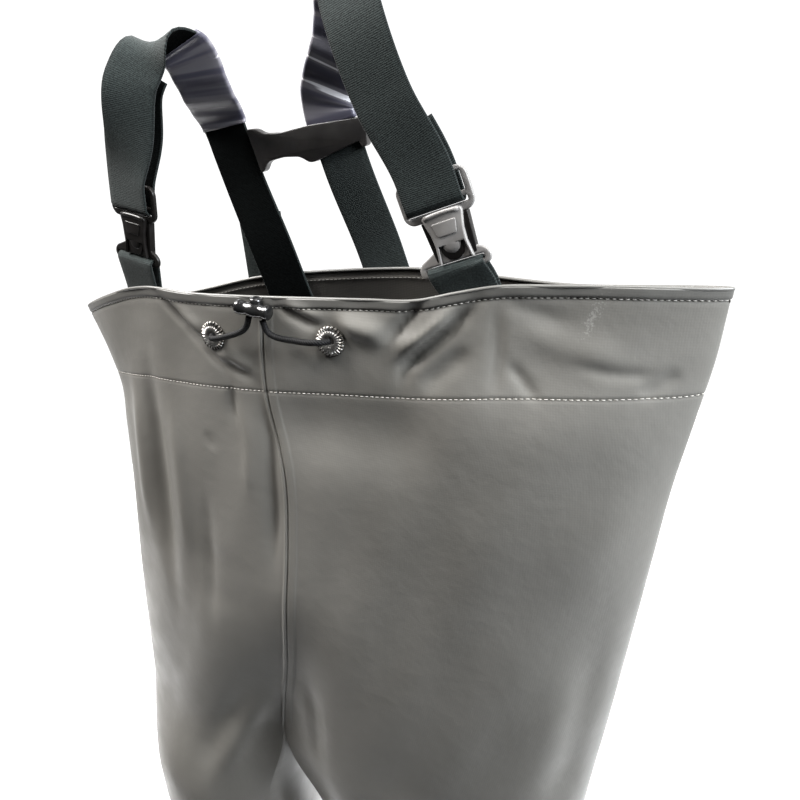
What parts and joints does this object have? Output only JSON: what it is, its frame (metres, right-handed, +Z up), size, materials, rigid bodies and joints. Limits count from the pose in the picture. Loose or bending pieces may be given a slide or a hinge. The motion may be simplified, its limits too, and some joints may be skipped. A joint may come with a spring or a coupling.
{
  "type": "chest waders",
  "caption": "Chest waders of coated cloth on moulded boots, with elastic braces, side-release buckles, a back yoke and a drawcord with a barrel lock at the rim.",
  "frame": {"origin": "on the floor under the middle of the waders' outline", "axes": "+Z up from the soles to the braces, -Y to the front, +X to the wearer's left"},
  "size_m": [0.608, 0.3163, 1.6225],
  "materials": {
    "cloth": "PVC-coated cloth, taupe grey, semi-gloss",
    "boot": "moulded PVC, satin dark green-grey",
    "sole": "moulded rubber, matt black",
    "insole": "felted grey insole",
    "webbing": "knitted elastic, green-black, matt",
    "plastic": "moulded grey plastic, satin",
    "yoke": "moulded brown-black plastic, satin",
    "metal": "plated brass, bright",
    "cord": "braided elastic cord, black",
    "lock": "moulded black plastic, glossy"
  },
  "bodies": {
    "root": {"body_left": "cloth", "body_right": "cloth", "leg_left": "cloth", "leg_right": "cloth", "boot_left": "boot", "boot_right": "boot", "boot_shaft_left": "boot", "boot_shaft_right": "boot", "outsole_left": "sole", "outsole_right": "sole", "insole_left": "insole", "insole_right": "insole", "brace_left": "webbing", "brace_right": "webbing", "brace_tab_right": "webbing", "loop_left": "webbing", "loop_right": "webbing", "loop_frame_left": "plastic", "loop_frame_right": "plastic", "buckle_left": "plastic", "buckle_right": "plastic", "yoke": "yoke", "eyelet_left": "metal", "eyelet_right": "metal", "drawcord_left": "cord", "drawcord_right": "cord", "cord_lock": "lock"}
  },
  "joints": []
}
